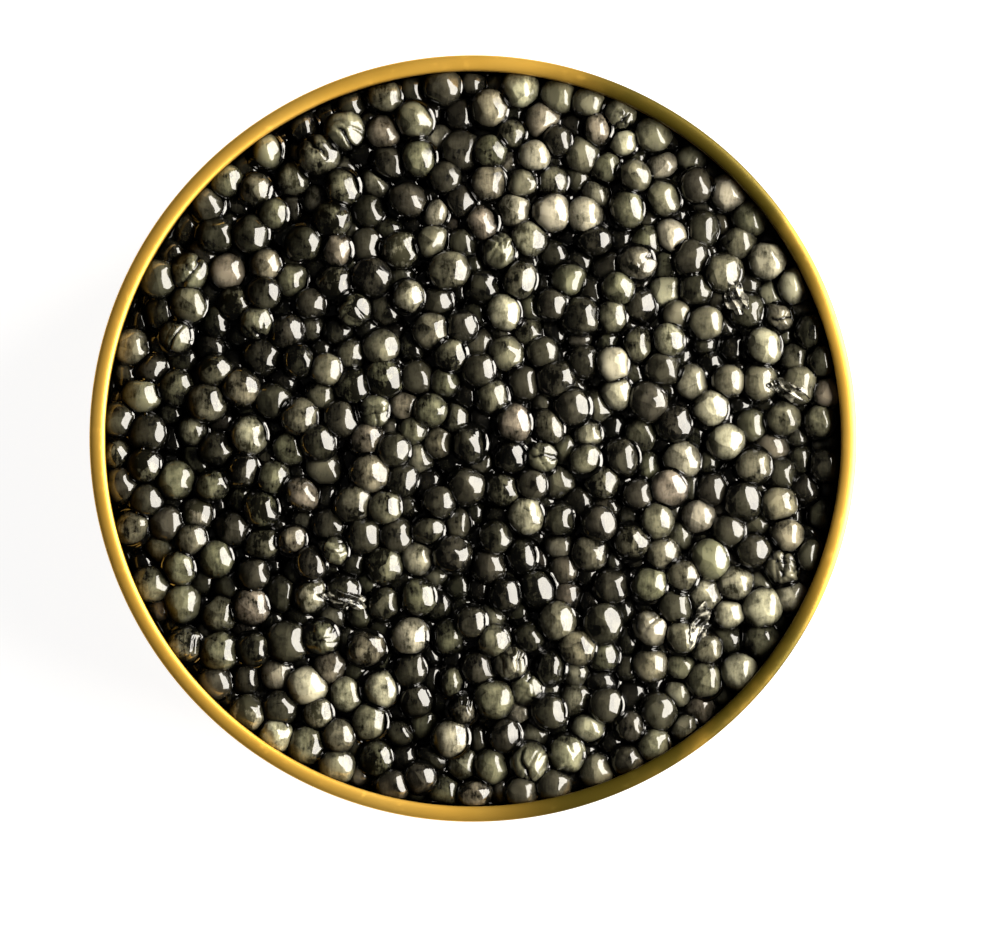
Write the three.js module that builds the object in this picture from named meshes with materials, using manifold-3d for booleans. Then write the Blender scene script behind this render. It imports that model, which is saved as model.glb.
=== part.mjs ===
// An open round tin of sturgeon caviar, filled to the rim and standing on its base.
// Millimetres. The origin is the centre of the base, +Z is up, and the tin is round about Z.
import * as THREE from "three";
import { mergeVertices } from "three/addons/utils/BufferGeometryUtils.js";
import Module from "manifold-3d";

// Driving dimensions of the tin
const TIN_HEIGHT = 19;
const TIN_RADIUS = 34; // outside of the curled rim
const SHEET = 0.35; // lacquered steel sheet
const CURL_RADIUS = 0.42; // half the width of the curl along the rim
const FLARE_WIDTH = 0.42; // the mouth opens by this much below the curl
const FLARE_HEIGHT = 2.2;
const WALL_DRAFT = 0.5; // the wall leans in by this much down to the base
const BASE_CORNER = 2; // outside radius between wall and base
const FOOT_WIDTH = 2.4; // flat ring that the tin stands on
const PANEL_LIFT = 0.6; // the middle of the base is raised by this much
const PANEL_SLOPE = 0.6;
const TIN_SEGMENTS = 60;

// Driving dimensions of the caviar
const CLEARANCE = 0.32; // kept between the caviar and the tin
const PEARL_RADIUS = 1.54;
const PEARL_SPREAD = 0.5; // how much the radii differ, as a share
const CROWN_ABOVE_RIM = 1; // the heap's top in the middle
const EDGE_BELOW_RIM = 0.8; // the heap's top along the wall
const WAVE_HEIGHT = 0.3; // the heap's top rolls up and down by about this much
const WAVES = [
  // radians for each millimetre along X and Y, and the angle that the wave starts at
  { x: 0.31, y: 0.17, start: 0 },
  { x: -0.21, y: 0.43, start: 1.3 },
  { x: 0.52, y: 0, start: 2.1 },
];
const BED_DEPTH = 4.8; // depth of the packed pearls under the heap's top
const PEARL_COUNT = 790;
const SINK = 1.9; // the highest place of a pearl lies up to this far under the heap's top
const SQUEEZE = 0.955; // soft pearls sit this much closer than their radii say
const SETTLING_STEPS = 260;
const NEARBY = 0.5; // pearls this close to touching are watched for the next few steps
const STEPS_BETWEEN_SEARCHES = 8;
const RISE = 0.012; // how far the crowded pearls rise towards the heap's top in a step
const PUSH = 0.32; // share of an overlap that one step takes away
const PEARL_TURNS = [1.1, 1.7, 2.3]; // each pearl is turned on from the last by these angles
const CORE_BELOW_TOP = 1.3; // the core's surface lies this far under the heap's top
const CORE_SEGMENTS = 30;
const CORE_RINGS = 4;
const LEAST_SHOWN = 0.35; // a pearl that stands less than this out of the core is left out

const WELD = 1e-4; // points closer than this are one

const wallTop = TIN_RADIUS - 2 * CURL_RADIUS - FLARE_WIDTH; // inside of the wall, under the flare
const wallBottom = wallTop - WALL_DRAFT;
const panelTop = PANEL_LIFT + SHEET;

// Points along an arc in the profile plane, from one angle to another in degrees, both ends included.
function arc(centreR, centreZ, radius, from, to, steps) {
  return Array.from({ length: steps + 1 }, (_, i) => {
    const angle = THREE.MathUtils.degToRad(from + ((to - from) * i) / steps);
    return new THREE.Vector2(centreR + radius * Math.cos(angle), centreZ + radius * Math.sin(angle));
  });
}

// Turns a profile of (radius, height) points about Z.
function turned(profile, segments) {
  return new THREE.LatheGeometry(profile, segments).rotateX(Math.PI / 2);
}

// The tin's sheet: under the base, up the outside, over the curl, down the inside and back to the axis.
function tinGeometry() {
  const outerBottom = wallBottom + SHEET;
  const footOuter = outerBottom - BASE_CORNER;
  const footInner = footOuter - FOOT_WIDTH;
  const innerCorner = BASE_CORNER - SHEET;
  const curlR = TIN_RADIUS - CURL_RADIUS;
  const curlZ = TIN_HEIGHT - CURL_RADIUS;
  const point = (r, z) => new THREE.Vector2(r, z);
  return turned(
    [
      point(0, PANEL_LIFT),
      point(footInner - PANEL_SLOPE, PANEL_LIFT),
      point(footInner, 0),
      ...arc(footOuter, BASE_CORNER, BASE_CORNER, -90, 0, 3),
      point(wallTop + SHEET, TIN_HEIGHT - CURL_RADIUS - FLARE_HEIGHT),
      ...arc(curlR, curlZ, CURL_RADIUS, -100, 180, 7),
      point(wallTop, TIN_HEIGHT - CURL_RADIUS - FLARE_HEIGHT),
      ...arc(wallBottom - innerCorner, SHEET + innerCorner, innerCorner, 0, -90, 2),
      point(footInner, SHEET),
      point(footInner - PANEL_SLOPE, panelTop),
      point(0, panelTop),
    ],
    TIN_SEGMENTS,
  );
}

// Height of the heap's top over a point: a shallow dome with gentle waves.
function heapTop(x, y) {
  const share = (x * x + y * y) / (wallTop * wallTop);
  const dome = TIN_HEIGHT + CROWN_ABOVE_RIM - (CROWN_ABOVE_RIM + EDGE_BELOW_RIM) * share;
  const waves = WAVES.reduce((sum, wave) => sum + Math.sin(wave.x * x + wave.y * y + wave.start), 0);
  return dome + WAVE_HEIGHT * (1 - share) * (waves / WAVES.length - 1);
}

// Number i of an even spread over 0 to 1, one spread for each step.
const spread = (i, step) => (0.5 + i * step) % 1;

// Pearls before settling, spread evenly through the bed.
function loosePearls() {
  const plastic = 1.22074408460575947; // its powers give an even spread in three directions
  const golden = 0.618033988749895;
  return Array.from({ length: PEARL_COUNT }, (_, i) => {
    const angle = 2 * Math.PI * spread(i, 1 / plastic);
    const reach = (wallTop - CLEARANCE - PEARL_RADIUS) * Math.sqrt(spread(i, 1 / plastic ** 2));
    const depth = BED_DEPTH * spread(i, 1 / plastic ** 3);
    const size = (spread(i, golden) + spread(i, golden ** 3) + spread(i, Math.SQRT2 - 1)) / 3;
    const [x, y] = [reach * Math.cos(angle), reach * Math.sin(angle)];
    const radius = PEARL_RADIUS * (1 + PEARL_SPREAD * (size - 0.5));
    const sunk = SINK * spread(i, Math.sqrt(3) - 1) ** 2;
    return { x, y, z: heapTop(x, y) - depth, radius, sunk };
  });
}

// Pairs of pearls that are near enough to touch soon.
function nearPairs(pearls) {
  const pairs = [];
  for (let a = 0; a < pearls.length; a++)
    for (let b = a + 1; b < pearls.length; b++) {
      const reach = pearls[a].radius + pearls[b].radius + NEARBY;
      const dx = pearls[b].x - pearls[a].x;
      const dy = pearls[b].y - pearls[a].y;
      const dz = pearls[b].z - pearls[a].z;
      if (dx * dx + dy * dy + dz * dz < reach * reach) pairs.push([a, b]);
    }
  return pairs;
}

// Moves a pearl back inside the tin, the heap's top and the bed's floor.
function contain(pearl) {
  const reach = Math.hypot(pearl.x, pearl.y);
  const limit = wallTop - CLEARANCE - pearl.radius;
  if (reach > limit) {
    pearl.x *= limit / reach;
    pearl.y *= limit / reach;
  }
  const top = heapTop(pearl.x, pearl.y);
  pearl.z = Math.min(Math.max(pearl.z, top - BED_DEPTH + pearl.radius), top - pearl.sunk - pearl.radius);
}

// Lets the crowded pearls push each other apart, up to the heap's top, until they lie as a packed bed.
function settledPearls() {
  const pearls = loosePearls();
  let pairs = [];
  for (let step = 0; step < SETTLING_STEPS; step++) {
    if (step % STEPS_BETWEEN_SEARCHES === 0) pairs = nearPairs(pearls);
    const moves = pearls.map(() => [0, 0, RISE]);
    for (const [a, b] of pairs) {
      const [p, q] = [pearls[a], pearls[b]];
      const [dx, dy, dz] = [q.x - p.x, q.y - p.y, q.z - p.z];
      const distance = Math.hypot(dx, dy, dz);
      const overlap = SQUEEZE * (p.radius + q.radius) - distance;
      if (overlap <= 0) continue;
      const share = (PUSH * overlap) / distance;
      [dx, dy, dz].forEach((d, k) => {
        moves[a][k] -= d * share;
        moves[b][k] += d * share;
      });
    }
    pearls.forEach((pearl, i) => {
      pearl.x += moves[i][0];
      pearl.y += moves[i][1];
      pearl.z += moves[i][2];
      contain(pearl);
    });
  }
  return pearls;
}

// The plain body of the caviar under the pearls that show.
function coreGeometry() {
  const floor = panelTop + CLEARANCE;
  const lower = wallBottom - CLEARANCE;
  const upper = wallTop - CLEARANCE;
  const level = TIN_HEIGHT - CORE_BELOW_TOP;
  const top = Array.from(
    { length: CORE_RINGS + 1 },
    (_, i) => new THREE.Vector2(upper * (1 - i / CORE_RINGS), level),
  );
  const sides = [
    new THREE.Vector2(0, floor),
    new THREE.Vector2(lower - BASE_CORNER, floor),
    new THREE.Vector2(lower, floor + BASE_CORNER),
  ];
  const core = turned([...sides, ...top], CORE_SEGMENTS);
  const points = core.attributes.position;
  for (let i = 0; i < points.count; i++) {
    const onTop = points.getZ(i) > floor + BASE_CORNER;
    if (onTop) points.setZ(i, heapTop(points.getX(i), points.getY(i)) - CORE_BELOW_TOP);
  }
  return core;
}

// A pearl with few sides, turned by its number so that no two neighbours stand alike.
function pearlGeometry(pearl, number) {
  const turn = new THREE.Euler(...PEARL_TURNS.map((angle) => angle * number));
  return new THREE.IcosahedronGeometry(pearl.radius, 0)
    .applyMatrix4(new THREE.Matrix4().makeRotationFromEuler(turn))
    .translate(pearl.x, pearl.y, pearl.z);
}

const wasm = await Module();
wasm.setup();

// A closed geometry as a solid for joining.
function solid(geometry) {
  geometry.deleteAttribute("normal");
  geometry.deleteAttribute("uv");
  const merged = mergeVertices(geometry, WELD);
  return new wasm.Manifold(
    new wasm.Mesh({
      numProp: 3,
      vertProperties: new Float32Array(merged.attributes.position.array),
      triVerts: new Uint32Array(merged.index.array),
    }),
  );
}

// A joined solid as a geometry.
function geometryOf(joined) {
  const mesh = joined.getMesh();
  return new THREE.BufferGeometry()
    .setAttribute("position", new THREE.BufferAttribute(mesh.vertProperties, 3))
    .setIndex(new THREE.BufferAttribute(mesh.triVerts, 1));
}

// How far a pearl stands out of the core.
function standsOut(pearl) {
  return pearl.z + pearl.radius - heapTop(pearl.x, pearl.y) + CORE_BELOW_TOP;
}

// The caviar: its core with the pearls that stand out of it fused on.
function caviarGeometry() {
  const shown = settledPearls().filter((pearl) => standsOut(pearl) > LEAST_SHOWN);
  const joined = shown.reduce(
    (body, pearl, i) => body.add(solid(pearlGeometry(pearl, i))),
    solid(coreGeometry()),
  );
  const bodies = joined.decompose().sort((a, b) => b.volume() - a.volume());
  return geometryOf(bodies[0]);
}

const tin = new THREE.Mesh(
  tinGeometry(),
  new THREE.MeshStandardMaterial({ color: 0xd9a93a, roughness: 0.28, metalness: 1 }),
);
tin.name = "tin";

const caviar = new THREE.Mesh(
  caviarGeometry(),
  new THREE.MeshStandardMaterial({ color: 0x4a483c, roughness: 0.15, metalness: 0 }),
);
caviar.name = "caviar";

const openTin = new THREE.Group();
openTin.add(tin, caviar);

export default openTin;
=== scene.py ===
"""Dresses the open round tin of sturgeon caviar: the gold tin, the wet eggs, the brine and film between them,
and the studio around it. Lengths in the classes are millimetres in the part's frame; meshes are in metres."""

from __future__ import annotations

import logging
import math
from dataclasses import dataclass, field
from enum import Enum

import bpy
import numpy as np
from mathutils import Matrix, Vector

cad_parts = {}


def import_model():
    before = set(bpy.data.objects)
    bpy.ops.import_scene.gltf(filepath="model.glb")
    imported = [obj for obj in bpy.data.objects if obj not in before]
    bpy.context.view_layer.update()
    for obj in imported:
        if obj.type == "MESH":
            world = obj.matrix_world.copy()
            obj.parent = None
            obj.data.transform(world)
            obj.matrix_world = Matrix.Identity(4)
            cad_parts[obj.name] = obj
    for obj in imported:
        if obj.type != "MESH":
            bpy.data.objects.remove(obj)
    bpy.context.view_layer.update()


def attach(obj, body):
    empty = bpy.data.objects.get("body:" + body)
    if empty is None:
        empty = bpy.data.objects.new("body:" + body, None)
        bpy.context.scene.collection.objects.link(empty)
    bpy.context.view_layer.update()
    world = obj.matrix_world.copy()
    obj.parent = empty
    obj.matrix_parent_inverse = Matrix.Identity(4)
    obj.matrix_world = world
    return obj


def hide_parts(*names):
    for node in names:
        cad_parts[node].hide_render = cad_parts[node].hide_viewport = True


LOG = logging.getLogger("caviar")
MM = 0.001
BODY = "root"

PHOTO_WIDTH = 990
PHOTO_HEIGHT = 933
PHOTO_TIN_CENTRE = (473.0, 437.0)  # pixel of the rim's centre in the photograph
PHOTO_TIN_WIDTH = 768.0  # pixels across the rim

Colour = tuple[float, float, float]
Place = tuple[float, float, float]


# Mesh helpers


def rows(*parts: np.ndarray) -> np.ndarray:
    """Stacks arrays of points or faces one under another."""
    return np.concatenate(parts, axis=0)


def unit(vectors: np.ndarray) -> np.ndarray:
    """Scales each vector to length 1."""
    return vectors / np.maximum(np.linalg.norm(vectors, axis=-1, keepdims=True), 1e-12)


def smooth(low: float, high: float, value: np.ndarray) -> np.ndarray:
    """Rises smoothly from 0 at low to 1 at high: 3 t squared less 2 t cubed."""
    t = np.clip((value - low) / (high - low), 0, 1)
    return t * t * (3 - 2 * t)


def make_object(
    name: str, points: np.ndarray, quads: np.ndarray, triangles: np.ndarray | None = None
) -> bpy.types.Object:
    """Makes a smooth-shaded mesh object.

    Args:
        name: The piece's name.
        points: One row of x, y, z in millimetres for each vertex.
        quads: One row of four vertex numbers for each face.
        triangles: One row of three vertex numbers for each further face.

    Returns:
        The object, linked to the scene.
    """
    triangles = np.zeros((0, 3), int) if triangles is None else triangles
    mesh = bpy.data.meshes.new(name)
    mesh.vertices.add(len(points))
    mesh.vertices.foreach_set("co", (points * MM).astype(np.float32).ravel())
    loops = np.concatenate([quads.ravel(), triangles.ravel()]).astype(np.int32)
    starts = np.concatenate([np.arange(len(quads)) * 4, quads.size + np.arange(len(triangles)) * 3])
    mesh.loops.add(len(loops))
    mesh.loops.foreach_set("vertex_index", loops)
    mesh.polygons.add(len(starts))
    mesh.polygons.foreach_set("loop_start", starts.astype(np.int32))
    mesh.polygons.foreach_set("use_smooth", np.ones(len(starts), bool))
    mesh.update(calc_edges=True)
    made = bpy.data.objects.new(name, mesh)
    bpy.context.scene.collection.objects.link(made)
    return made


def copies(
    name: str, points: np.ndarray, quads: np.ndarray, triangles: np.ndarray | None = None
) -> bpy.types.Object:
    """Makes one joined mesh of many small bodies that all have the same pattern of faces.

    Args:
        name: The piece's name.
        points: For each body, rows of x, y, z in millimetres.
        quads: Rows of four vertex numbers of one body.
        triangles: Rows of three vertex numbers of one body.

    Returns:
        The object, linked to the scene.
    """
    starts = (np.arange(len(points)) * points.shape[1])[:, None, None]
    if triangles is not None:
        triangles = (triangles + starts).reshape(-1, 3)
    return make_object(name, points.reshape(-1, 3), (quads + starts).reshape(-1, 4), triangles)


def add_attribute(piece: bpy.types.Object, name: str, values: np.ndarray) -> None:
    """Stores a number, or a vector, for each vertex of a piece.

    Args:
        piece: The piece.
        name: The name that a material reads it by.
        values: One number, or one row of three numbers, for each vertex.
    """
    vector = values.ndim == 2
    stored = piece.data.attributes.new(name, "FLOAT_VECTOR" if vector else "FLOAT", "POINT")
    stored.data.foreach_set("vector" if vector else "value", values.astype(np.float32).ravel())


def joined(name: str, bodies: list[tuple[np.ndarray, np.ndarray]]) -> bpy.types.Object:
    """Makes one mesh of several bodies.

    Args:
        name: The piece's name.
        bodies: Points and faces of each, by its own vertex numbers.

    Returns:
        The object, linked to the scene.
    """
    starts = np.cumsum([0] + [len(points) for points, _ in bodies])
    faces = [quads + first for (_, quads), first in zip(bodies, starts)]
    return make_object(name, rows(*[points for points, _ in bodies]), rows(*faces))


def grid_quads(across: int, around: int, closed: bool) -> np.ndarray:
    """Faces of a grid of points numbered row by row.

    Args:
        across: Number of rows.
        around: Points in a row.
        closed: Whether each row's last point joins its first.

    Returns:
        One row of four vertex numbers for each face.
    """
    i, j = np.meshgrid(np.arange(across - 1), np.arange(around if closed else around - 1), indexing="ij")
    k = (j + 1) % around
    corners = [i * around + j, i * around + k, (i + 1) * around + k, (i + 1) * around + j]
    return np.stack(corners, axis=-1).reshape(-1, 4)


def capped(rings: int, around: int) -> tuple[np.ndarray, np.ndarray]:
    """Faces of a closed grid of rings whose ends fan in to two poles, numbered after the grid's points.

    Args:
        rings: Number of rings.
        around: Points in a ring.

    Returns:
        Rows of four vertex numbers, and rows of three.
    """
    count, last = rings * around, (rings - 1) * around
    j = np.arange(around)
    k = (j + 1) % around
    first_fan = np.stack([np.full(around, count), k, j], axis=-1)
    last_fan = np.stack([np.full(around, count + 1), last + j, last + k], axis=-1)
    return grid_quads(rings, around, True), rows(first_fan, last_fan)


def round_circle(count: int) -> np.ndarray:
    """So many evenly spaced angles round a circle, in radians."""
    return np.arange(count) * 2 * math.pi / count


def turned(name: str, profile: np.ndarray, segments: int) -> bpy.types.Object:
    """Turns a profile about Z: each point (r, z) goes to (r cos a, r sin a, z) for evenly spaced angles a.

    Args:
        name: The piece's name.
        profile: Rows of r, z that start and end on the axis, with the solid on the left of the way along.
        segments: Number of angles.

    Returns:
        The closed object.
    """
    angle = round_circle(segments)
    inner = profile[1:-1]
    points = np.zeros((len(inner), segments, 3))
    points[..., :2] = inner[:, None, :1] * np.stack([np.cos(angle), np.sin(angle)], axis=-1)
    points[..., 2] = inner[:, None, 1]
    poles = np.array([[0, 0, profile[0, 1]], [0, 0, profile[-1, 1]]])
    return make_object(name, rows(points.reshape(-1, 3), poles), *capped(len(inner), segments))


def disc(points: int) -> tuple[np.ndarray, np.ndarray]:
    """A square grid drawn out to a disc: (u, v) goes to (u sqrt(1 - v v / 2), v sqrt(1 - u u / 2)).

    Args:
        points: Number of points along a side.

    Returns:
        The two coordinates on the disc of radius 1, as square arrays.
    """
    side = np.linspace(-1, 1, points)
    u, v = np.meshgrid(side, side, indexing="ij")
    return u * np.sqrt(1 - v * v / 2), v * np.sqrt(1 - u * u / 2)


def outline(points: int) -> np.ndarray:
    """Numbers of the points round the edge of a square grid that has so many points along a side."""
    number = np.arange(points * points).reshape(points, points)
    return np.concatenate([number[:-1, 0], number[-1, :-1], number[:0:-1, -1], number[0, :0:-1]])


def band(first: np.ndarray, second: np.ndarray) -> np.ndarray:
    """Faces between two closed rows of points, given by their numbers."""
    return np.stack([second, np.roll(second, -1), np.roll(first, -1), first], axis=-1)


def arc(centre: tuple[float, float], radius: float, start: float, end: float, steps: int) -> np.ndarray:
    """Points at centre plus radius times (cos a, sin a), for angles a in degrees from start to end."""
    angle = np.radians(np.linspace(start, end, steps + 1))
    return np.stack([centre[0] + radius * np.cos(angle), centre[1] + radius * np.sin(angle)], axis=-1)


def ball_grid(steps: int) -> tuple[np.ndarray, np.ndarray]:
    """Directions and faces of a ball made from a cube.

    Each side is a grid in two angles u and v from -45 to 45 degrees. A point of it is (tan u, tan v, 1),
    turned to that side and scaled to length 1. Points that two sides share are merged.

    Args:
        steps: Squares along a side of the cube.

    Returns:
        Unit vectors, and faces as rows of four of their numbers, facing outwards.
    """
    flat = np.tan(np.linspace(-math.pi / 4, math.pi / 4, steps + 1))
    u, v = np.meshgrid(flat, flat, indexing="ij")
    side = np.stack([u, v, np.ones_like(u)], axis=-1).reshape(-1, 3)
    turns = [(0, 1, 2, 1), (1, 2, 0, 1), (2, 0, 1, 1), (1, 0, 2, -1), (2, 1, 0, -1), (0, 2, 1, -1)]
    points, faces = [], []
    for number, (a, b, c, sign) in enumerate(turns):
        turned_side = np.empty_like(side)
        turned_side[:, a], turned_side[:, b], turned_side[:, c] = side[:, 0], side[:, 1], sign * side[:, 2]
        points.append(unit(turned_side))
        faces.append(grid_quads(steps + 1, steps + 1, False)[:, ::-1] + number * len(side))
    stacked = rows(*points)
    _, first, merged = np.unique(np.round(stacked, 6), axis=0, return_index=True, return_inverse=True)
    directions = stacked[first]
    quads = merged.reshape(-1)[rows(*faces)]
    centre = directions[quads].mean(axis=1)
    across = directions[quads[:, 2]] - directions[quads[:, 0]]
    along = directions[quads[:, 3]] - directions[quads[:, 1]]
    inward = (np.cross(across, along) * centre).sum(axis=1) < 0
    quads[inward] = quads[inward][:, ::-1]
    return directions, quads


# Shader helpers


class Term:
    """A socket of a shader graph on which Python's operators add Math nodes."""

    def __init__(self, graph: "Graph", socket: bpy.types.NodeSocket) -> None:
        """Wraps a socket of a graph."""
        self.graph = graph
        self.socket = socket

    def _math(self, operation: str, *values: object) -> "Term":
        """Adds one Math node on the given values."""
        return self.graph.node("ShaderNodeMath", {"operation": operation}, dict(enumerate(values)))

    def __add__(self, other: object) -> "Term":
        """This plus other."""
        return self._math("ADD", self, other)

    __radd__ = __add__

    def __sub__(self, other: object) -> "Term":
        """This less other."""
        return self._math("SUBTRACT", self, other)

    def __rsub__(self, other: object) -> "Term":
        """Other less this."""
        return self._math("SUBTRACT", other, self)

    def __mul__(self, other: object) -> "Term":
        """This times other."""
        return self._math("MULTIPLY", self, other)

    __rmul__ = __mul__

    def clamped(self) -> "Term":
        """This, kept between 0 and 1."""
        return self.graph.node("ShaderNodeClamp", {}, {"Value": self})

    def ramped(self, low: float, high: float) -> "Term":
        """0 at low, 1 at high, smooth between."""
        limits = {"Value": self, "From Min": low, "From Max": high}
        return self.graph.node("ShaderNodeMapRange", {"interpolation_type": "SMOOTHSTEP"}, limits)


class Graph:
    """The shader graph of one new material."""

    def __init__(self, name: str) -> None:
        """Makes the material with a Principled shader on its output.

        Args:
            name: The material's name.
        """
        self.material = bpy.data.materials.new(name)
        self.material.use_nodes = True
        self.tree = self.material.node_tree
        self.shader = self.tree.nodes["Principled BSDF"]

    def node(self, kind: str, settings: dict, values: dict, output: int | str = 0) -> Term:
        """Adds a node.

        Args:
            kind: The node's type name.
            settings: Properties of the node, set before its sockets.
            values: Numbers, colours, vectors or Terms for its inputs, by name or number.
            output: Which of its outputs to return.

        Returns:
            The chosen output.
        """
        made = self.tree.nodes.new(kind)
        for key, value in settings.items():
            setattr(made, key, value)
        for key, value in values.items():
            self.join(made.inputs[key], value)
        return Term(self, made.outputs[output])

    def join(self, socket: bpy.types.NodeSocket, value: object) -> None:
        """Links a Term to an input, or sets a plain value on it.

        Args:
            socket: The input.
            value: A Term, a number, or a colour of three numbers.
        """
        if isinstance(value, Term):
            self.tree.links.new(value.socket, socket)
        elif isinstance(value, tuple) and len(value) == 3 and socket.type == "RGBA":
            socket.default_value = (*value, 1.0)
        else:
            socket.default_value = value

    def mix(self, factor: object, low: object, high: object) -> Term:
        """Mixes two colours by a factor."""
        names = {"Factor": factor, 6: low, 7: high}
        return self.node("ShaderNodeMix", {"data_type": "RGBA"}, names, output=2)

    def noise(self, place: Term, scale: float, detail: float = 3.0, roughness: float = 0.55) -> Term:
        """Smooth noise from 0 to 1 over a place."""
        values = {"Vector": place, "Scale": scale, "Detail": detail, "Roughness": roughness}
        return self.node("ShaderNodeTexNoise", {}, values)

    def place(self) -> Term:
        """The point's place in the part's frame, in metres."""
        return self.node("ShaderNodeTexCoord", {}, {}, output="Object")

    def along(self, operation: str, *places: object, output: str = "Vector") -> Term:
        """One Vector Math node on a place and, where it takes one, a plain vector."""
        return self.node("ShaderNodeVectorMath", {"operation": operation}, dict(enumerate(places)), output)

    def number(self, name: str) -> Term:
        """A number that the mesh stores for each vertex."""
        return self.node("ShaderNodeAttribute", {"attribute_name": name}, {}, output="Fac")

    def vector(self, name: str) -> Term:
        """A vector that the mesh stores for each vertex."""
        return self.node("ShaderNodeAttribute", {"attribute_name": name}, {}, output="Vector")

    def cells(self, place: Term, scale: float) -> tuple[Term, Term]:
        """Splits space into cells round scattered points.

        Args:
            place: The place that the cells lie in.
            scale: Cells for each unit of place.

        Returns:
            The distance to the nearest cell's point, in cell units, and a random number for each cell.
        """
        distance = self.node("ShaderNodeTexVoronoi", {}, {"Vector": place, "Scale": scale}, output="Distance")
        colour = Term(self, distance.socket.node.outputs["Color"])
        return distance, self.node("ShaderNodeSeparateColor", {}, {"Color": colour})

    def bump(self, height: Term, distance: float, strength: float = 1.0) -> Term:
        """The normal of a surface raised by height times distance, in metres."""
        return self.node("ShaderNodeBump", {}, {"Height": height, "Distance": distance, "Strength": strength})

    def finish(self, **sockets: object) -> bpy.types.Material:
        """Sets the shader's sockets.

        Args:
            **sockets: A value or Term for each, named with _ for a space.

        Returns:
            The material.
        """
        for key, value in sockets.items():
            self.join(self.shader.inputs[key.replace("_", " ")], value)
        return self.material


# Finishes


@dataclass(frozen=True)
class GoldLacquer:
    """Clear gold lacquer over bright tinplate."""

    light: Colour = (0.9, 0.54, 0.1)
    deep: Colour = (0.76, 0.42, 0.05)
    shaded_wall_light: Colour = (0.56, 0.33, 0.065)
    shaded_wall_deep: Colour = (0.42, 0.235, 0.035)
    # painted shade: a dark colour on two arcs of the lip
    lip_shade_colour: Colour = (0.07, 0.056, 0.002)
    roughness: float = 0.34
    shade_brine_line: float = 17.35
    lip_foot: float = 18.1
    shade_brine_sway: float = 1.8
    lip_shade_arcs: tuple[tuple[float, float], ...] = ((-54.0, 42.0), (49.0, 34.0))  # degrees round the lip
    lip_shade_heart: float = 0.45  # share of a painted shade arc's reach in which it is whole
    lip_shade_cover: float = 0.96
    metal: float = 0.68
    drawn: Place = (60.0, 60.0, 5200.0)  # how dense the drawn lines are along each axis, per metre

    def material(self) -> bpy.types.Material:
        """Builds the finish: drawn lines round the wall, faint clouding and small scuffs, with painted shade:
        near-black brine colour on the inside up to near the rim, a darker gold on the wall below the lip, and
        dark arcs on the lip.

        Returns:
            The material.
        """
        graph = Graph("gold_lacquer")
        place = graph.place()
        cloud = graph.noise(place, 60.0)
        lines = graph.noise(graph.along("MULTIPLY", place, self.drawn), 1.0, 4.0, 0.6)
        scuff = graph.noise(place, 900.0, 5.0, 0.7).ramped(0.56, 0.72)
        height = graph.node("ShaderNodeSeparateXYZ", {}, {"Vector": place}, output="Z")
        brine = self.brine(graph, place, height)
        tint = cloud.ramped(0.3, 0.7) * 0.6 + lines * 0.3
        on_lip = height.ramped((self.lip_foot - 0.3) * MM, (self.lip_foot + 0.3) * MM)
        # painted shade: the wall below the lip is coloured a darker gold than the lip
        wall = graph.mix(tint, self.shaded_wall_light, self.shaded_wall_deep)
        clean = graph.mix(on_lip, wall, graph.mix(tint, self.light, self.deep))
        # painted shade on two arcs of the lip
        gold = graph.mix(self.lip_shade(graph, place) * on_lip * self.lip_shade_cover, clean, self.lip_shade_colour)
        return graph.finish(
            # painted shade: the inside of the wall is near black with brine colour up to near the rim
            Base_Color=graph.mix(brine, gold, Brine.deep),
            Metallic=self.metal + (1 - self.metal) * brine,
            Roughness=(self.roughness + 0.1 * lines + 0.14 * scuff + 0.3 * brine).clamped(),
            Normal=graph.bump(lines * 0.6 + scuff * 0.2, 0.00002, 0.35),
        )

    def brine(self, graph: Graph, place: Term, height: Term) -> Term:
        """How far near-black brine colour covers the lacquer as painted shade: wholly on the inside, up to an
        uneven line near the rim.
        """
        line = self.shade_brine_line * MM + (graph.noise(place, 260.0, 4.0) - 0.5) * (self.shade_brine_sway * MM)
        return graph.number("tin_inside") * (1 - (height - line).ramped(0.0, 0.00015))

    def lip_shade(self, graph: Graph, place: Term) -> Term:
        """Where painted shade darkens the lip, on two arcs round it.

        The cosine of the angle from an arc's middle is the dot product of both level directions.

        Args:
            graph: The material's graph.
            place: The point's place in metres.

        Returns:
            1 round the middle of each arc, less towards its reach, and 0 past it.
        """
        way = graph.along("NORMALIZE", graph.along("MULTIPLY", place, (1.0, 1.0, 0.0)))
        total = None
        for middle, reach in np.radians(self.lip_shade_arcs).tolist():
            heading = (math.cos(middle), math.sin(middle), 0.0)
            cosine = graph.along("DOT_PRODUCT", way, heading, output="Value")
            held = cosine.ramped(math.cos(reach), math.cos(reach * self.lip_shade_heart))
            total = held if total is None else total + held
        return total * graph.noise(place, 90.0, 4.0).ramped(0.05, 0.5)


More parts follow.
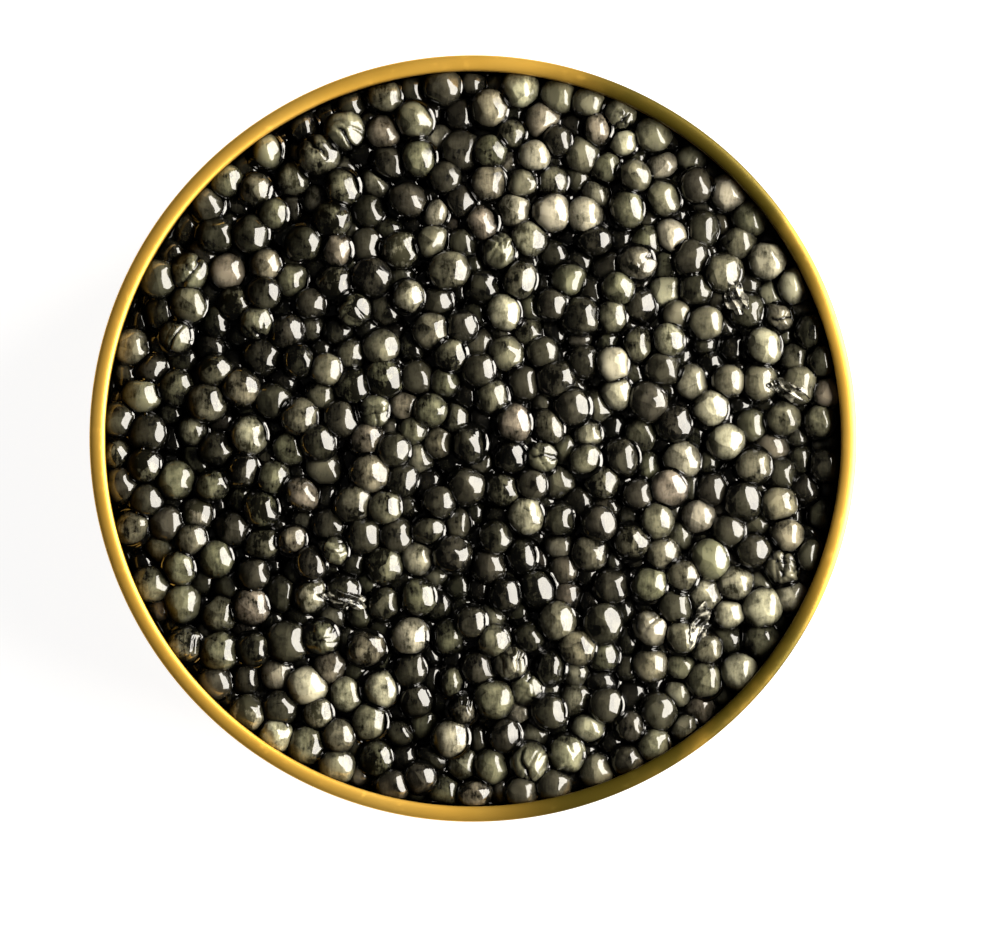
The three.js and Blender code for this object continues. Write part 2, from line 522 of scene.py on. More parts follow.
@dataclass(frozen=True)
class EggSkin:
    """The wet translucent skin of an egg over its yolk."""

    name: str
    deep: Colour
    light: Colour
    unlit: Colour = (0.0006, 0.0006, 0.0004)
    greener: Colour = (0.965, 1.0, 0.92)
    greyer: Colour = (1.045, 1.0, 1.07)
    cloudy: float = 2.0
    grained: float = 1.0
    streaked: float = 1.2
    patched: float = 0.4
    streaks: Place = (7.0, 1.6, 2.2)  # how dense they are along each axis, per egg radius
    facets: float = 1.2  # flats for each egg radius
    flatness: float = 0.35  # 1 makes each flat quite plane

    def material(self) -> bpy.types.Material:
        """Builds the finish: clouded and grained yolk under a clear wet coat, with painted shade that darkens
        it low in the heap, on each egg's side away from the light, and in its folds.

        The skin is raised by the square of the distance to the nearest cell point over twice the radius. That
        takes the egg's own curve out of each cell and leaves soft flats.

        Returns:
            The material.
        """
        graph = Graph(self.name)
        place = graph.vector("egg_place")
        tone = graph.number("egg_tone")
        lift = graph.number("egg_lift")
        cloud = graph.noise(place, 1.3, 2.0, 0.5)
        grain = graph.noise(place, 6.0, 5.0, 0.7)
        streak = graph.noise(graph.along("MULTIPLY", place, self.streaks), 1.0, 3.0, 0.6)
        reach, chance = graph.cells(place, self.facets)
        light = tone + (cloud - 0.5) * self.cloudy + (grain - 0.5) * self.grained
        light = light + (streak - 0.5) * self.streaked + (chance - 0.5) * self.patched
        green = tuple(a * b for a, b in zip(self.light, self.greener))
        grey = tuple(a * b for a, b in zip(self.light, self.greyer))
        colour = graph.mix(light.clamped(), self.deep, graph.mix(graph.number("egg_hue"), green, grey))
        # painted shade: the colour falls to near black low in the heap, on each egg's side away from the
        # light, and in its folds
        shaded = graph.mix(lift, self.unlit, colour)
        flat = 0.5 * Bed.egg_radius * MM * self.flatness / self.facets**2
        height = reach * reach * flat + grain * 0.000004 + streak * 0.000012
        return graph.finish(
            Base_Color=shaded,
            Roughness=0.5,
            IOR=1.1,
            Coat_Weight=1 - graph.number("egg_dull"),
            Coat_Roughness=0.015,
            Coat_IOR=1.58,
            Subsurface_Weight=0.3,
            Subsurface_Radius=(0.8, 0.78, 0.6),
            Subsurface_Scale=0.0005,
            Normal=graph.bump(height, 1.0),
        )


@dataclass(frozen=True)
class Brine:
    """Dark brine and yolk that fills the space between the eggs; where it fills the depths, its near black is
    painted shade.
    """

    name: str = "brine"
    deep: Colour = (0.0006, 0.0006, 0.0004)
    light: Colour = (0.002, 0.0019, 0.0012)
    gloss: float = 1.5

    def material(self) -> bpy.types.Material:
        """Builds the finish: near black, mirror smooth, with a faint ripple.

        Returns:
            The material.
        """
        graph = Graph(self.name)
        place = graph.place()
        ripple = graph.noise(place, 900.0, 1.0, 0.5)
        return graph.finish(
            Base_Color=graph.mix(graph.noise(place, 300.0), self.deep, self.light),
            Roughness=0.05,
            IOR=self.gloss,
            Normal=graph.bump(ripple, 0.00004, 0.5),
        )


@dataclass(frozen=True)
class BurstSkin:
    """The pale wet skin of an egg that has burst."""

    name: str = "burst_skin"
    deep: Colour = (0.006, 0.0056, 0.0036)
    light: Colour = (0.56, 0.535, 0.44)

    def material(self) -> bpy.types.Material:
        """Builds the finish: clouded grey, glossy and finely wrinkled.

        Returns:
            The material.
        """
        graph = Graph(self.name)
        place = graph.place()
        cloud = graph.noise(place, 900.0, 4.0, 0.6)
        wrinkle = graph.noise(place, 2600.0, 2.0, 0.5)
        return graph.finish(
            Base_Color=graph.mix(cloud.ramped(0.44, 0.62), self.deep, self.light),
            Roughness=0.12,
            IOR=1.6,
            Normal=graph.bump(wrinkle, 0.00008),
        )


@dataclass(frozen=True)
class Floor:
    """A plain pale studio floor, lit a little from below as a light table is."""

    colour: Colour = (0.4, 0.4, 0.4)
    glow: float = 0.93

    def material(self) -> bpy.types.Material:
        """Builds the matt glowing finish.

        Returns:
            The material.
        """
        graph = Graph("studio_floor")
        return graph.finish(
            Base_Color=self.colour,
            Roughness=0.9,
            Specular_IOR_Level=0.1,
            Emission_Color=(1.0, 1.0, 1.0),
            Emission_Strength=self.glow,
        )


# The tin


@dataclass
class Tin:
    """The drawn and curled tin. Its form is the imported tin's, on a finer grid."""

    height: float = 19.0
    radius: float = 33.97
    sheet: float = 0.35
    wall_inside: float = 32.74
    lip_overhang: float = 0.12
    lip_rise: float = 0.3
    lip_drop: float = 0.42
    flare_height: float = 2.2
    draft: float = 0.5
    corner: float = 2.0
    foot_width: float = 2.4
    panel_lift: float = 0.6
    panel_slope: float = 0.6
    wall_gap: float = 0.04
    lip_turn: tuple[float, float] = (-100.0, 180.0)  # degrees that the lip is rolled through
    lip_steps: int = 42
    wall_steps: int = 6
    corner_steps: int = 9
    segments: int = 288
    finish: GoldLacquer = GoldLacquer()

    @property
    def wall_bottom(self) -> float:
        """Inside radius of the wall at the base."""
        return self.wall_inside - self.draft

    @property
    def floor(self) -> float:
        """Height of the tin's inside floor."""
        return self.panel_lift + self.sheet

    @property
    def flare_foot(self) -> float:
        """Height at which the wall starts to lean out under the lip."""
        return self.height - self.lip_drop - self.flare_height

    def inside_at(self, height: np.ndarray) -> np.ndarray:
        """Inside radius of the wall at each height: wider up to the flare, then closer by a little.

        Args:
            height: Heights in millimetres.

        Returns:
            Radii in millimetres.
        """
        widened = np.clip((height - self.corner) / (self.flare_foot - self.corner), 0, 1)
        closed = np.clip((height - self.flare_foot) / (self.height - self.lip_rise - self.flare_foot), 0, 1)
        return self.wall_bottom + self.draft * widened - self.lip_overhang * closed

    def kept_in(self, points: np.ndarray) -> np.ndarray:
        """Moves points that lie past the wall's inside, less a small gap, straight back to it.

        Args:
            points: Rows of x, y, z in millimetres.

        Returns:
            The points, all inside the wall.
        """
        reach = np.linalg.norm(points[..., :2], axis=-1)
        limit = self.inside_at(points[..., 2]) - self.wall_gap
        shrink = np.minimum(1, limit / np.maximum(reach, 1e-9))
        return np.concatenate([points[..., :2] * shrink[..., None], points[..., 2:]], axis=-1)

    def profile(self) -> np.ndarray:
        """The sheet's section: under the base, up the outside, over the lip, down the inside to the axis.

        The rolled lip is two half ellipses as wide as the lip: a low one on top and a deeper one under it.

        Returns:
            Rows of r, z in millimetres.
        """
        foot_outer = self.wall_bottom + self.sheet - self.corner
        foot_inner = foot_outer - self.foot_width
        inside = self.corner - self.sheet
        panel = foot_inner - self.panel_slope
        half = (self.radius - self.wall_inside + self.lip_overhang) / 2
        turn = np.radians(np.linspace(*self.lip_turn, self.lip_steps + 1))
        depth = np.where(turn > 0, self.lip_rise, self.lip_drop)
        lip = [self.radius - half + half * np.cos(turn), self.height - self.lip_rise + depth * np.sin(turn)]
        rise = np.linspace(0, 1, self.wall_steps + 1)[1:-1, None]
        outer_low = np.array([[self.wall_bottom + self.sheet, self.corner]])
        outer_high = np.array([[self.wall_inside + self.sheet, self.flare_foot]])
        return rows(
            np.array([[0, self.panel_lift], [panel, self.panel_lift], [foot_inner, 0]]),
            arc((foot_outer, self.corner), self.corner, -90, 0, self.corner_steps),
            outer_low + (outer_high - outer_low) * rise,
            outer_high,
            np.stack(lip, axis=-1),
            np.array([[self.wall_inside, self.flare_foot]]),
            arc((self.wall_bottom - inside, self.sheet + inside), inside, 0, -90, self.corner_steps - 1),
            np.array([[foot_inner, self.sheet], [panel, self.floor], [0, self.floor]]),
        )

    def build(self) -> list[bpy.types.Object]:
        """Builds the tin's fine shell, and marks its inside: all that comes after the crest of the lip.

        Returns:
            The piece.
        """
        profile = self.profile()
        shell = turned("tin_shell", profile, self.segments)
        inside = (np.arange(len(profile)) > profile[:, 1].argmax()).astype(float)
        add_attribute(shell, "tin_inside", np.append(np.repeat(inside[1:-1], self.segments), [0.0, 1.0]))
        shell.data.materials.append(self.finish.material())
        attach(shell, BODY)
        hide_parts("tin")
        return [shell]


# The caviar


class Kind(Enum):
    """Kinds of eggs, each made as one joined piece with its own finish."""

    PALE = EggSkin("egg_pale", (0.034, 0.032, 0.018), (0.5, 0.472, 0.335))
    OLIVE = EggSkin("egg_olive", (0.005, 0.0047, 0.0023), (0.205, 0.197, 0.126))
    CHARCOAL = EggSkin("egg_charcoal", (0.0016, 0.0015, 0.0008), (0.062, 0.058, 0.039))
    BROWN = EggSkin("egg_brown", (0.011, 0.0096, 0.0056), (0.3, 0.264, 0.187))
    BURST = EggSkin("egg_burst", (0.005, 0.0047, 0.0025), (0.25, 0.238, 0.16))

    @property
    def number(self) -> int:
        """The kind's place in this list."""
        return list(Kind).index(self)


def dress_caviar(piece: bpy.types.Object, finish: EggSkin | Brine | BurstSkin) -> bpy.types.Object:
    """Finishes a piece of the caviar, hangs it on the part's body and hides the imported caviar.

    Args:
        piece: The piece.
        finish: Its finish.

    Returns:
        The piece.
    """
    piece.data.materials.append(finish.material())
    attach(piece, BODY)
    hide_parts("caviar")
    return piece


@dataclass
class Bed:
    """The settled eggs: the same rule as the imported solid's, so that they lie where its eggs do."""

    tin: Tin
    clearance: float = 0.32
    egg_radius: float = 1.54
    egg_spread: float = 0.5
    crown: float = 1.0
    edge: float = 0.8
    wave: float = 0.3
    waves: tuple[Place, ...] = ((0.31, 0.17, 0.0), (-0.21, 0.43, 1.3), (0.52, 0.0, 2.1))  # by x, by y, start
    depth: float = 4.8
    count: int = 790
    squeeze: float = 0.955
    steps: int = 260
    look: int = 8  # steps between two looks for neighbours
    rise: float = 0.012
    push: float = 0.32
    sink: float = 1.9
    spread: float = 1.008
    press: float = 0.5
    press_from_wall: tuple[float, float] = (8.0, 2.0)
    wall_gap: float = 0.06
    centres: np.ndarray = field(init=False)
    radii: np.ndarray = field(init=False)
    ceilings: np.ndarray = field(init=False)

    def top(self, x: np.ndarray, y: np.ndarray) -> np.ndarray:
        """Height of the heap's top over each point: a shallow dome, with sine waves that fade to the wall.

        Args:
            x: Places along X.
            y: Places along Y.

        Returns:
            Heights in millimetres.
        """
        share = (x * x + y * y) / self.tin.wall_inside**2
        dome = self.tin.height + self.crown - (self.crown + self.edge) * share
        waves = sum(np.sin(a * x + b * y + start) for a, b, start in self.waves)
        return dome + self.wave * (1 - share) * (waves - len(self.waves)) / len(self.waves)

    def scatter(self) -> None:
        """Spreads the loose eggs through the bed: egg i is at the fractional parts of i times fixed steps.

        The steps come from the root of p to the 4th = p + 1, from the golden ratio and from square roots.
        """
        number = np.arange(self.count)
        root = 1.22074408460575947
        golden = 0.618033988749895

        def part(step: float) -> np.ndarray:
            """The fractional part of a half plus each egg's number times a step."""
            return (0.5 + number * step) % 1

        angle = 2 * math.pi * part(1 / root)
        reach = (self.tin.wall_inside - self.clearance - self.egg_radius) * np.sqrt(part(1 / root**2))
        size = (part(golden) + part(golden**3) + part(math.sqrt(2) - 1)) / 3
        x, y = reach * np.cos(angle), reach * np.sin(angle)
        z = self.top(x, y) - self.depth * part(1 / root**3)
        self.centres = np.stack([x, y, z], axis=-1)
        self.radii = self.egg_radius * (1 + self.egg_spread * (size - 0.5))
        self.ceilings = self.sink * part(math.sqrt(3) - 1) ** 2

    def near_pairs(self, margin: float = 0.5) -> tuple[np.ndarray, np.ndarray]:
        """Finds the pairs of eggs whose skins are less than a margin apart.

        Args:
            margin: The margin in millimetres.

        Returns:
            Numbers of the first and of the second egg of each pair.
        """
        apart = np.linalg.norm(self.centres[:, None] - self.centres[None], axis=-1)
        reach = self.radii[:, None] + self.radii[None] + margin
        return np.nonzero(np.triu(apart < reach, 1))

    def contain(self) -> None:
        """Moves eggs back inside the tin's wall, the heap's top and the bed's floor."""
        x, y, z = self.centres.T
        reach = np.hypot(x, y)
        limit = self.tin.wall_inside - self.clearance - self.radii
        shrink = np.where(reach > limit, limit / np.maximum(reach, 1e-9), 1.0)
        x, y = x * shrink, y * shrink
        top = self.top(x, y)
        z = np.minimum(np.maximum(z, top - self.depth + self.radii), top - self.ceilings - self.radii)
        self.centres = np.stack([x, y, z], axis=-1)

    def settle(self) -> None:
        """Lets the crowded eggs push each other apart until they lie as a packed bed."""
        self.scatter()
        for step in range(self.steps):
            if step % self.look == 0:
                first, second = self.near_pairs()
            between = self.centres[second] - self.centres[first]
            distance = np.linalg.norm(between, axis=-1)
            overlap = self.squeeze * (self.radii[first] + self.radii[second]) - distance
            push = between * (self.push * np.maximum(overlap, 0) / distance)[:, None]
            moves = np.zeros_like(self.centres)
            moves[:, 2] = self.rise
            np.add.at(moves, first, -push)
            np.add.at(moves, second, push)
            self.centres = self.centres + moves
            self.contain()
        self.widen()

    def widen(self) -> None:
        """Spreads the bed a little, and presses the eggs near the wall against it."""
        reach = np.hypot(self.centres[:, 0], self.centres[:, 1])
        pressed = self.press * smooth(*self.press_from_wall, self.tin.wall_inside - reach)
        self.centres[:, :2] *= (self.spread + pressed / np.maximum(reach, 1e-9))[:, None]

    def below_top(self) -> np.ndarray:
        """How far each egg's highest point lies under the heap's top."""
        x, y, z = self.centres.T
        return self.top(x, y) - z - self.radii

    def pair_below_top(self, first: np.ndarray, second: np.ndarray) -> np.ndarray:
        """How far the lower egg of each pair lies under the heap's top."""
        below = self.below_top()
        return np.maximum(below[first], below[second])

    def touch(self, first: np.ndarray, second: np.ndarray) -> np.ndarray:
        """Where the two eggs of each pair touch: their radii share out the way between their centres."""
        share = self.radii[first] / (self.radii[first] + self.radii[second])
        return self.centres[first] + (self.centres[second] - self.centres[first]) * share[:, None]

    def contacts(self, most: int) -> tuple[np.ndarray, np.ndarray]:
        """The flats that its neighbours and the tin's wall press on each egg.

        Args:
            most: Number of nearest neighbours looked at.

        Returns:
            Unit directions to them and to the wall, and the distance from the egg's centre to each flat.
        """
        between = self.centres[None] - self.centres[:, None]
        apart = np.linalg.norm(between, axis=-1)
        nearest = np.argsort(apart, axis=1)[:, 1 : most + 1]
        distance = np.take_along_axis(apart, nearest, axis=1)
        towards = np.take_along_axis(between, nearest[..., None], axis=1) / distance[..., None]
        share = self.radii[:, None] / (self.radii[:, None] + self.radii[nearest])
        reach = np.hypot(self.centres[:, 0], self.centres[:, 1])[:, None]
        outward = np.column_stack([self.centres[:, :2] / reach, np.zeros(len(reach))])
        towards = np.concatenate([towards, outward[:, None]], axis=1)
        return towards, np.column_stack([distance * share, self.tin.wall_inside - self.wall_gap - reach])


@dataclass
class Eggs:
    """The eggs themselves, with pressed flats, creases and their own tones."""

    bed: Bed
    seed: int = 11
    fineness: tuple[tuple[float, int], ...] = ((1.35, 8), (2.0, 5), (9.0, 3))  # for eggs down to this depth
    burst_fineness: tuple[tuple[float, int], ...] = ((1.35, 20),)
    burst_count: int = 22
    burst_below: float = 0.7
    least_draw: tuple[tuple[Kind, float], ...] = ((Kind.PALE, 0.84), (Kind.BROWN, 0.76), (Kind.OLIVE, 0.36))
    paler_right: float = 0.13
    paler_at_wall: float = 0.1
    tone: tuple[float, float] = (0.5, 0.2)  # middle and spread
    swell: float = 1.15
    edge_power: float = 64.0
    neighbours: int = 13
    flats: int = 9
    loose: tuple[float, float] = (0.86, 0.97)  # shares of the radius at which loose flats lie
    first_loose: tuple[float, float] = (0.84, 0.91)
    first_lean: tuple[float, float] = (44.0, 4.0)  # degrees: middle and spread, as the next
    first_way: tuple[float, float] = (6.0, 18.0)
    stretches: tuple[float, ...] = (0.8, 0.88, 1.0, 1.1)
    stretch_odds: tuple[float, ...] = (0.2, 0.3, 0.3, 0.2)
    flatten: float = 0.82
    creases: int = 6
    crease_width: tuple[float, float] = (0.05, 0.11)
    crease_depth: tuple[float, float] = (0.03, 0.1)
    cleft: tuple[float, float] = (1.5, 2.6)  # how much wider and deeper the first crease is
    # painted shade: the way the light comes from; the skin is darkened away from it, and low in the heap
    painted_light_way: Place = (0.19, 0.04, 0.98)
    limb_shade: tuple[float, float] = (0.25, 1.0)  # cosines to the bright way from dark to light
    shade: tuple[float, float] = (-2.4, -0.4)  # heights over the heap's top from dark to light
    dull_from_wall: tuple[float, float] = (17.0, 8.0)
    kinds: np.ndarray = field(init=False)
    tones: np.ndarray = field(init=False)
    hues: np.ndarray = field(init=False)

    def choose(self) -> None:
        """Gives each egg a kind, a tone and a hue, so that they are paler to the right and along the wall."""
        rng = np.random.default_rng(self.seed)
        x, y, _ = self.bed.centres.T
        reach = np.hypot(x, y) / self.bed.tin.wall_inside
        lean = self.paler_right * x / self.bed.tin.wall_inside + self.paler_at_wall * reach**3
        draw = rng.random(len(x)) + lean
        over = [draw > least for _, least in self.least_draw]
        self.kinds = np.select(over, [kind.number for kind, _ in self.least_draw], Kind.CHARCOAL.number)
        showing = np.nonzero(self.bed.below_top() < self.burst_below)[0]
        self.kinds[rng.permutation(showing)[: self.burst_count]] = Kind.BURST.number
        self.tones = np.clip(rng.normal(*self.tone, len(x)) + lean, 0.05, 1.1)
        self.hues = rng.random(len(x))

    def surfaces(self, chosen: np.ndarray, directions: np.ndarray, rng: np.random.Generator) -> np.ndarray:
        """How far each egg's skin lies from its centre, in each direction of a ball.

        The skin is a ball cut by soft flats: 1 / distance, to the power p, is 1 / radius to that power plus
        the sum over the flats of (cosine to the flat's direction / the flat's distance) to that power.

        Args:
            chosen: Numbers of the eggs.
            directions: Unit vectors of the ball.
            rng: Source of the loose flats.

        Returns:
            One row of distances in millimetres for each egg.
        """
        towards, flat = self.bed.contacts(self.neighbours)
        towards, flat = towards[chosen], flat[chosen]
        radius = self.bed.radii[chosen] * self.swell
        towards = np.concatenate([towards, self.loose_flats(len(chosen), rng)], axis=1)
        loose = rng.uniform(*self.loose, (len(chosen), self.flats))
        loose[:, 0] = rng.uniform(*self.first_loose, len(chosen))
        flat = np.concatenate([flat, radius[:, None] * loose], axis=1)
        cosine = np.maximum(np.einsum("knc,vc->kvn", towards, directions), 0)
        power = self.edge_power
        total = radius[:, None] ** -power + ((cosine / flat[:, None, :]) ** power).sum(axis=-1)
        return total ** (-1 / power)

    def creased(self, directions: np.ndarray, count: int, rng: np.random.Generator) -> np.ndarray:
        """How much the folds of burst eggs take off, in each direction of a ball.

        A fold is a narrow valley along part of a great circle that wavers: depth exp(-(d / width) squared),
        where d is the sine of the angle from the circle. The first fold of each egg is a wide, deep cleft.

        Args:
            directions: Unit vectors of the ball.
            count: Number of eggs.
            rng: Source of the folds.

        Returns:
            One row of shares of the egg's radius for each egg.
        """
        across = unit(rng.normal(size=(count, self.creases, 3)) * np.array([1, 1, 0.5]))
        along = unit(np.cross(across, rng.normal(size=across.shape)) + np.array([0.25, 0, 0.9]))
        width = rng.uniform(*self.crease_width, (count, 1, self.creases))
        depth = rng.uniform(*self.crease_depth, (count, 1, self.creases))
        width[:, :, 0] *= self.cleft[0]
        depth[:, :, 0] *= self.cleft[1]
        sway = 0.09 * np.sin(7 * (directions @ np.array([0.6, -0.5, 0.62])))[None, :, None]
        sine = np.einsum("kmc,vc->kvm", across, directions) + sway
        patch = smooth(0.25, 0.7, np.einsum("kmc,vc->kvm", along, directions))
        return (depth * patch * np.exp(-((sine / width) ** 2))).sum(axis=-1)

    def loose_flats(self, count: int, rng: np.random.Generator) -> np.ndarray:
        """Directions of the flats that an egg has of itself, spread evenly round it.

        Flat i of m stands at height 1 - (2 i + 1) / m and at i times the golden angle. Each egg's set is
        turned by random axes: a vector, a cross product with another, and the cross product of both. The
        first flat is then set to lean to the right, where it mirrors the window.

        Args:
            count: Number of eggs.
            rng: Source of the turns and of small shifts.

        Returns:
            Unit vectors for each egg and flat.
        """
        number = np.arange(self.flats)
        height = 1 - (2 * number + 1) / self.flats
        angle = number * math.pi * (3 - math.sqrt(5))
        level = np.sqrt(1 - height**2)
        even = np.stack([level * np.cos(angle), level * np.sin(angle), height], axis=-1)
        first = unit(rng.normal(size=(count, 3)))
        second = unit(np.cross(first, rng.normal(size=(count, 3))))
        turn = np.stack([first, second, np.cross(first, second)], axis=1)
        found = unit(even[None] @ turn + 0.13 * rng.normal(size=(count, self.flats, 3)))
        lean = np.radians(rng.normal(*self.first_lean, count))
        way = np.radians(rng.normal(*self.first_way, count))
        level = np.sin(lean)
        found[:, 0] = np.stack([level * np.cos(way), level * np.sin(way), np.cos(lean)], axis=-1)
        return found

    def lift(self, points: np.ndarray, directions: np.ndarray, folds: np.ndarray) -> np.ndarray:
        """Painted shade on the skin, as the share of its colour kept: darker low in the heap, on the side
        away from the light, and in folds.

        Args:
            points: Points of each egg.
            directions: Unit vectors of the ball.
            folds: How much the folds take off at each point.

        Returns:
            A row of numbers from 0 to 1 for each egg.
        """
        over = points[..., 2] - self.bed.top(points[..., 0], points[..., 1])
        limb_shade = smooth(*self.limb_shade, np.broadcast_to(directions @ np.array(self.painted_light_way), over.shape))
        return smooth(*self.shade, over) * limb_shade * (1 - smooth(0.04, 0.16, folds))

    def dullness(self, centres: np.ndarray, directions: np.ndarray) -> np.ndarray:
        """How dull the coat is: where an egg near the wall on the left faces the wall.

        Args:
            centres: The eggs' centres.
            directions: Unit vectors of the ball.

        Returns:
            A row of numbers from 0 to 1 for each egg.
        """
        reach = np.hypot(centres[:, 0], centres[:, 1])[:, None]
        outward = centres[:, :2] / reach
        near_wall = smooth(*self.dull_from_wall, self.bed.tin.wall_inside - reach)
        on_left = smooth(0.4, -0.2, outward[:, :1])
        return near_wall * on_left * smooth(0.1, 0.4, outward @ directions[:, :2].T)

    def formed(
        self, chosen: np.ndarray, steps: int, rng: np.random.Generator, burst: bool
    ) -> tuple[np.ndarray, np.ndarray, dict[str, np.ndarray]]:
        """Works out the meshes of some eggs.

        Each is stretched along an axis of its own: the part of a point along the axis is scaled.

        Args:
            chosen: Numbers of the eggs.
            steps: Fineness of each egg's grid.
            rng: Source of the random parts of their shapes.
            burst: Whether they are folded.

        Returns:
            Points, faces, and what the finish reads at each point, by name.
        """
        directions, quads = ball_grid(steps)
        each = (len(chosen), 1, 1)
        skin = self.surfaces(chosen, directions, rng)
        folds = self.creased(directions, len(chosen), rng) if burst else np.zeros_like(skin)
        stretch = rng.choice(self.stretches, each, p=self.stretch_odds)
        axis = unit(rng.normal(size=(len(chosen), 1, 3)))
        local = (skin * (1 - folds))[..., None] * directions
        local = local + (stretch - 1) * (local * axis).sum(axis=-1, keepdims=True) * axis
        local = local * np.array([1, 1, self.flatten])
        centres = self.bed.centres[chosen]
        points = self.bed.tin.kept_in(centres[:, None] + local)
        starts = (np.arange(len(chosen)) * len(directions))[:, None, None]
        place = local / self.bed.egg_radius + rng.uniform(-50, 50, (len(chosen), 1, 3))
        read = {
            "egg_place": place.reshape(-1, 3),
            "egg_tone": np.repeat(self.tones[chosen], len(directions)),
            "egg_hue": np.repeat(self.hues[chosen], len(directions)),
            "egg_lift": self.lift(points, directions, folds).ravel(),
            "egg_dull": self.dullness(centres, directions).ravel(),
        }
        return points.reshape(-1, 3), (quads + starts).reshape(-1, 4), read

    def build(self) -> list[bpy.types.Object]:
        """Builds one joined piece for each kind of egg, with finer eggs on top than below.

        Returns:
            The pieces.
        """
        self.choose()
        rng = np.random.default_rng(self.seed + 1)
        below = self.bed.below_top()
        pieces = []
        for kind in Kind:
            burst = kind is Kind.BURST
            groups = []
            start = -1.0
            for end, steps in self.burst_fineness if burst else self.fineness:
                chosen = np.nonzero((below >= start) & (below < end) & (self.kinds == kind.number))[0]
                groups.append(self.formed(chosen, steps, rng, burst))
                start = end
            piece = joined(kind.name.lower() + "_eggs", [(points, faces) for points, faces, _ in groups])
            for name in groups[0][2]:
                add_attribute(piece, name, rows(*[read[name] for _, _, read in groups]))
            pieces.append(dress_caviar(piece, kind.value))
            LOG.info("%s: %d eggs", piece.name, int((self.kinds == kind.number).sum()))
        return pieces


@dataclass
class BrineRims:
    """The concave rims of brine that cling to the eggs on top, drawn up on their right side."""

    bed: Bed
    seed: int = 31
    segments: int = 24
    slopes: int = 4
    shown_below: float = 1.5
    kept: float = 0.8
    fillet: float = 0.42
    steep: float = 62.0
    shallow: float = 9.0
    depth: float = 0.3
    sizes: tuple[float, float] = (0.7, 1.3)
    start: float = 1.03  # share of the egg's radius at which a rim starts
    drawn_in: float = 0.13
    drawn_up: float = 0.62
    low: float = -0.14
    finish: Brine = Brine("film", gloss=1.7)

    def section(self) -> tuple[np.ndarray, np.ndarray]:
        """A rim's section: an arc that goes outwards and down from a steep slope to a shallow one.

        At slope s it is fillet (sin steep - sin s) out from its start and fillet (cos s - cos steep) down.
        Two points under its ends close it.

        Returns:
            How far out and how far down each point is, as columns.
        """
        slope = np.radians(np.linspace(self.steep, self.shallow, self.slopes))
        steep = math.radians(self.steep)
        out = self.fillet * (math.sin(steep) - np.sin(slope))
        down = self.fillet * (np.cos(slope) - math.cos(steep))
        return np.append(out, out[[-1, 0]])[:, None], np.append(down, down[[-1, -1]] + self.depth)[:, None]

    def build(self) -> list[bpy.types.Object]:
        """Builds the rims as one joined mesh of closed rings.

        Each is drawn up and in by a power of (1 + cos a) / 2, where a is the angle from a way near the right.
        Its height and reach sway with sines of twice and three times the angle round the egg.

        Returns:
            The piece.
        """
        bed = self.bed
        rng = np.random.default_rng(self.seed)
        held = (bed.below_top() < self.shown_below) & (rng.random(len(bed.radii)) < self.kept)
        chosen = np.nonzero(held)[0]
        each = (len(chosen), 1, 1)
        radius = bed.radii[chosen].reshape(each)
        out, down = self.section()
        angle = round_circle(self.segments)
        phase = rng.uniform(0, 2 * math.pi, (3, *each))
        size = rng.uniform(*self.sizes, each)
        sway = 0.5 * np.sin(2 * angle + phase[0]) + 0.5 * np.sin(3 * angle + phase[1])
        drawn = (0.5 + 0.5 * np.cos(angle - rng.normal(0.1, 0.35, each))) ** 1.2
        uneven = 0.02 * np.sin(2 * angle + phase[2])
        reach = radius * (self.start - self.drawn_in * drawn + uneven) + out * size
        level = bed.centres[chosen, 2].reshape(each) + radius * (self.drawn_up * drawn + self.low)
        height = level + 0.05 * sway - down * size
        ring = np.stack([reach * np.cos(angle), reach * np.sin(angle), height], axis=-1)
        ring[..., :2] += bed.centres[chosen, :2][:, None, None]
        around = len(out) * self.segments
        quads = grid_quads(len(out) + 1, self.segments, True)[:, [0, 3, 2, 1]] % around
        piece = copies("brine_rims", bed.tin.kept_in(ring).reshape(-1, around, 3), quads)
        return [dress_caviar(piece, self.finish)]


@dataclass
class WetBeads:
    """Beads of brine held where two eggs touch."""

    bed: Bed
    seed: int = 23
    segments: int = 10
    shown_below: float = 2.0
    touching: float = 0.12
    kept: float = 0.2
    half_width: float = 0.17
    flare: float = 0.16
    waist: tuple[float, float] = (0.48, 0.66)  # shares of the smaller egg's radius
    stations: tuple[float, ...] = (-1.0, -0.55, 0.0, 0.55, 1.0)  # shares of the half width
    finish: Brine = Brine()

    def build(self) -> list[bpy.types.Object]:
        """Builds the beads as one joined mesh of small closed spools along the lines between the centres.

        A spool's surface lies at reach (cos, sin) of an angle round the line. The reach is least in its
        middle: waist plus flare times (share of the half width) squared.

        Returns:
            The piece.
        """
        bed = self.bed
        rng = np.random.default_rng(self.seed)
        first, second = bed.near_pairs(self.touching)
        held = (bed.pair_below_top(first, second) < self.shown_below) & (rng.random(len(first)) < self.kept)
        first, second = first[held], second[held]
        along = unit(bed.centres[second] - bed.centres[first])
        side = unit(np.cross(along, np.array([0.31, 0.17, 1.0])))
        other = np.cross(along, side)
        middle = bed.touch(first, second)
        small = np.minimum(bed.radii[first], bed.radii[second])[:, None]
        each = (len(first), 1)
        waist = small * rng.uniform(*self.waist, each)
        width = self.half_width * rng.uniform(0.8, 1.25, each)
        angle = round_circle(self.segments)
        wobble = 1 + 0.08 * np.sin(angle * 2 + rng.uniform(0, 6.28, each))
        steps = np.array(self.stations)
        reach = (waist + self.flare * small * steps**2)[:, :, None] * wobble[:, None]
        offset = (steps * width)[:, :, None, None] * along[:, None, None]
        ring = np.cos(angle)[:, None] * side[:, None, None] + np.sin(angle)[:, None] * other[:, None, None]
        spools = middle[:, None, None] + offset + reach[..., None] * ring
        poles = middle[:, None] + np.array([-1.0, 1.0])[:, None] * (width[:, None] * along[:, None])
        points = np.concatenate([spools.reshape(len(first), -1, 3), poles], axis=1)
        piece = copies("wet_beads", bed.tin.kept_in(points), *capped(len(steps), self.segments))
        return [dress_caviar(piece, self.finish)]


